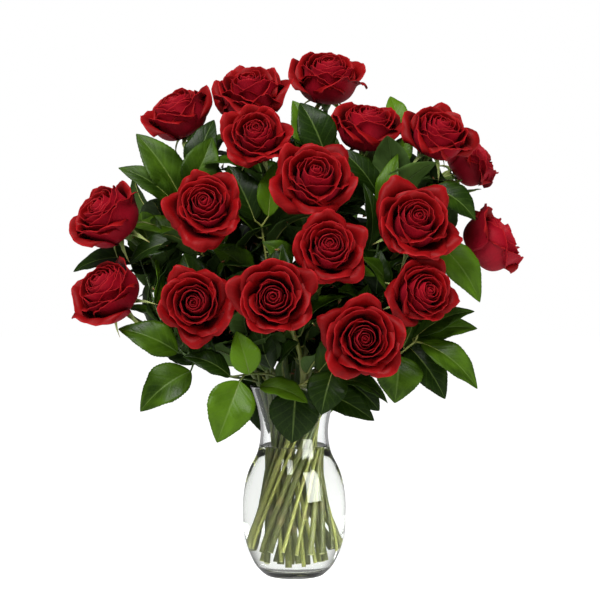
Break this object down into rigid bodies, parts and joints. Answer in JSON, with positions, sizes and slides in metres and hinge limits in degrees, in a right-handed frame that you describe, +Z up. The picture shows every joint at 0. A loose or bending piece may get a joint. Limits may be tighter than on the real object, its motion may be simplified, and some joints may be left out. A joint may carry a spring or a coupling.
{
  "type": "roses in a vase",
  "caption": "Bouquet of long-stemmed red roses with broad green leaves, standing in a clear waisted glass vase part filled with water.",
  "frame": {"origin": "centre of the vase's flat foot, on the surface that it stands on", "axes": "+Z up along the vase's axis, -Y towards the front of the bouquet, where most of the roses face, +X to the right seen from the front"},
  "size_m": [0.4767, 0.3388, 0.558],
  "materials": {
    "petals": "velvety matte",
    "rose_stem": "satin",
    "greenery": "leathery satin",
    "vase_glass": "clear polished",
    "water": "clear"
  },
  "bodies": {
    "root": {"rose_top_petals": "petals", "rose_top_left_petals": "petals", "rose_upper_left_petals": "petals", "rose_left_shoulder_petals": "petals", "rose_top_right_petals": "petals", "rose_right_shoulder_petals": "petals", "rose_right_back_petals": "petals", "rose_centre_petals": "petals", "rose_left_centre_petals": "petals", "rose_far_left_petals": "petals", "rose_middle_petals": "petals", "rose_right_centre_petals": "petals", "rose_far_right_petals": "petals", "rose_low_far_left_petals": "petals", "rose_low_left_petals": "petals", "rose_low_centre_petals": "petals", "rose_low_right_petals": "petals", "rose_front_right_petals": "petals", "rose_top_stem": "rose_stem", "rose_top_left_stem": "rose_stem", "rose_upper_left_stem": "rose_stem", "rose_left_shoulder_stem": "rose_stem", "rose_top_right_stem": "rose_stem", "rose_right_shoulder_stem": "rose_stem", "rose_right_back_stem": "rose_stem", "rose_centre_stem": "rose_stem", "rose_left_centre_stem": "rose_stem", "rose_far_left_stem": "rose_stem", "rose_middle_stem": "rose_stem", "rose_right_centre_stem": "rose_stem", "rose_far_right_stem": "rose_stem", "rose_low_far_left_stem": "rose_stem", "rose_low_left_stem": "rose_stem", "rose_low_centre_stem": "rose_stem", "rose_low_right_stem": "rose_stem", "rose_front_right_stem": "rose_stem", "greenery_low_left": "greenery", "greenery_left": "greenery", "greenery_upper_left": "greenery", "greenery_centre": "greenery", "greenery_top": "greenery", "greenery_upper_right": "greenery", "greenery_right": "greenery", "greenery_low_right": "greenery", "greenery_front": "greenery", "greenery_back_left": "greenery", "greenery_back_low": "greenery", "greenery_back": "greenery", "greenery_back_right": "greenery", "greenery_back_top": "greenery", "vase": "vase_glass", "water": "water"}
  },
  "joints": []
}
